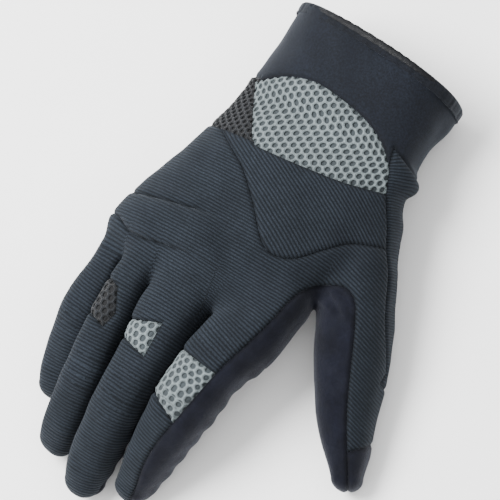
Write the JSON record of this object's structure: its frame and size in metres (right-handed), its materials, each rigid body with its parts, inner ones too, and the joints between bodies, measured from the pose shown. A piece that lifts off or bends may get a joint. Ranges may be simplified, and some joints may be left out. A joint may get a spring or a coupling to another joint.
{
  "type": "riding glove",
  "caption": "Short-cuff riding glove for the right hand, with ribbed fabric back, mesh vents, padded knuckles, suede palm, and fingers and thumb that bend.",
  "frame": {"origin": "middle of the glove's footprint, on the surface it lies on", "axes": "+Y towards the cuff's mouth, +X towards the thumb's side, +Z out of the back of the hand"},
  "size_m": [0.1666, 0.2508, 0.0566],
  "materials": {
    "cuff_fabric": "smooth stretch knit over neoprene, matt",
    "cuff_binding": "folded binding tape",
    "piping": "soft satin synthetic leather",
    "ribbed_fabric": "ribbed stretch knit, matt",
    "grey_mesh": "open spacer mesh",
    "black_mesh": "open spacer mesh",
    "suede": "synthetic suede, matt",
    "suede_patch": "synthetic suede, matt",
    "lining": "brushed knit",
    "elastic": "woven elastic",
    "loop_pile": "loop pile",
    "hook_tape": "moulded hooks",
    "foam": "closed-cell foam"
  },
  "bodies": {
    "hand": {"wrist_mesh_lower": "grey_mesh", "ulnar_mesh": "black_mesh", "thumb_side_gusset": "ribbed_fabric", "upper_back_panel": "ribbed_fabric", "back_panel": "ribbed_fabric", "knuckle_roll_rear": "ribbed_fabric", "knuckle_foam_rear": "foam", "thumb_web": "suede", "palm_heel": "suede", "palm_patch": "suede_patch", "palm_panel": "suede", "palm_foam": "foam", "hand_lining": "lining", "palm_lining": "lining", "thumb_root_back": "ribbed_fabric", "thumb_root_palm": "suede"},
    "cuff": {"cuff_back": "cuff_fabric", "cuff_underside": "cuff_fabric", "cuff_binding": "cuff_binding", "cuff_piping": "piping", "cuff_lining": "lining", "wrist_elastic": "elastic", "closure_loop_patch": "loop_pile", "closure_anchor": "cuff_fabric", "wrist_mesh_upper": "grey_mesh"},
    "closure": {"closure_tab": "cuff_fabric", "closure_hook_patch": "hook_tape"},
    "finger_roots": {"knuckle_roll_front": "ribbed_fabric", "knuckle_foam_front": "foam", "finger_root_back": "ribbed_fabric", "finger_root_palm": "suede", "index_base_back": "ribbed_fabric", "index_base_palm": "suede", "middle_base_back": "ribbed_fabric", "middle_base_palm": "suede", "ring_base_back": "ribbed_fabric", "ring_base_palm": "suede", "little_base_back": "ribbed_fabric", "little_base_palm": "suede"},
    "index_finger": {"index_end_back": "ribbed_fabric", "index_end_palm": "suede"},
    "middle_finger": {"middle_end_back": "ribbed_fabric", "middle_end_palm": "suede"},
    "ring_finger": {"ring_end_back": "ribbed_fabric", "ring_end_palm": "suede"},
    "little_finger": {"little_end_back": "ribbed_fabric", "little_end_palm": "suede"},
    "thumb_middle": {"thumb_middle_back": "ribbed_fabric", "thumb_middle_inner": "suede"},
    "thumb_end": {"thumb_end_back": "ribbed_fabric", "thumb_end_inner": "suede", "thumb_tip_cap": "suede_patch"}
  },
  "joints": [
    {"name": "wrist_bend", "type": "hinge", "parent": "hand", "child": "cuff", "pos_m": [-0.01454, 0.07748, 0.0298], "axis": [1, 0, 0], "range_deg": [-20, 20], "stiffness_Nm_per_rad": 0.6},
    {"name": "closure_peel", "type": "hinge", "parent": "cuff", "child": "closure", "pos_m": [0.01346, 0.09109, 0.00122], "axis": [0, -0.9923, 0.124], "range_deg": [0, 110]},
    {"name": "knuckle_bend", "type": "hinge", "parent": "hand", "child": "finger_roots", "pos_m": [0.00846, -0.00852, 0.03627], "axis": [0.9886, -0.1503, 0], "range_deg": [-12, 55], "stiffness_Nm_per_rad": 0.4},
    {"name": "index_bend", "type": "hinge", "parent": "finger_roots", "child": "index_finger", "pos_m": [0.00012, -0.0538, 0.03423], "axis": [0.995, -0.1, 0], "range_deg": [-12, 60], "stiffness_Nm_per_rad": 0.12},
    {"name": "middle_bend", "type": "hinge", "parent": "finger_roots", "child": "middle_finger", "pos_m": [-0.02959, -0.05974, 0.03664], "axis": [0.995, -0.1, 0], "range_deg": [-12, 60], "stiffness_Nm_per_rad": 0.12},
    {"name": "ring_bend", "type": "hinge", "parent": "finger_roots", "child": "ring_finger", "pos_m": [-0.0544, -0.05191, 0.03387], "axis": [0.995, -0.1, 0], "range_deg": [-12, 60], "stiffness_Nm_per_rad": 0.12},
    {"name": "little_bend", "type": "hinge", "parent": "finger_roots", "child": "little_finger", "pos_m": [-0.07306, -0.0384, 0.02903], "axis": [0.995, -0.1, 0], "range_deg": [-12, 60], "stiffness_Nm_per_rad": 0.12},
    {"name": "thumb_base_bend", "type": "hinge", "parent": "hand", "child": "thumb_middle", "pos_m": [0.04815, -0.00366, 0.01799], "axis": [0.3569, 0.2576, -0.8979], "range_deg": [-12, 25], "stiffness_Nm_per_rad": 0.2},
    {"name": "thumb_tip_bend", "type": "hinge", "parent": "thumb_middle", "child": "thumb_end", "pos_m": [0.06041, -0.02988, 0.01427], "axis": [0.3091, 0.3119, -0.8984], "range_deg": [-12, 35], "stiffness_Nm_per_rad": 0.2}
  ]
}
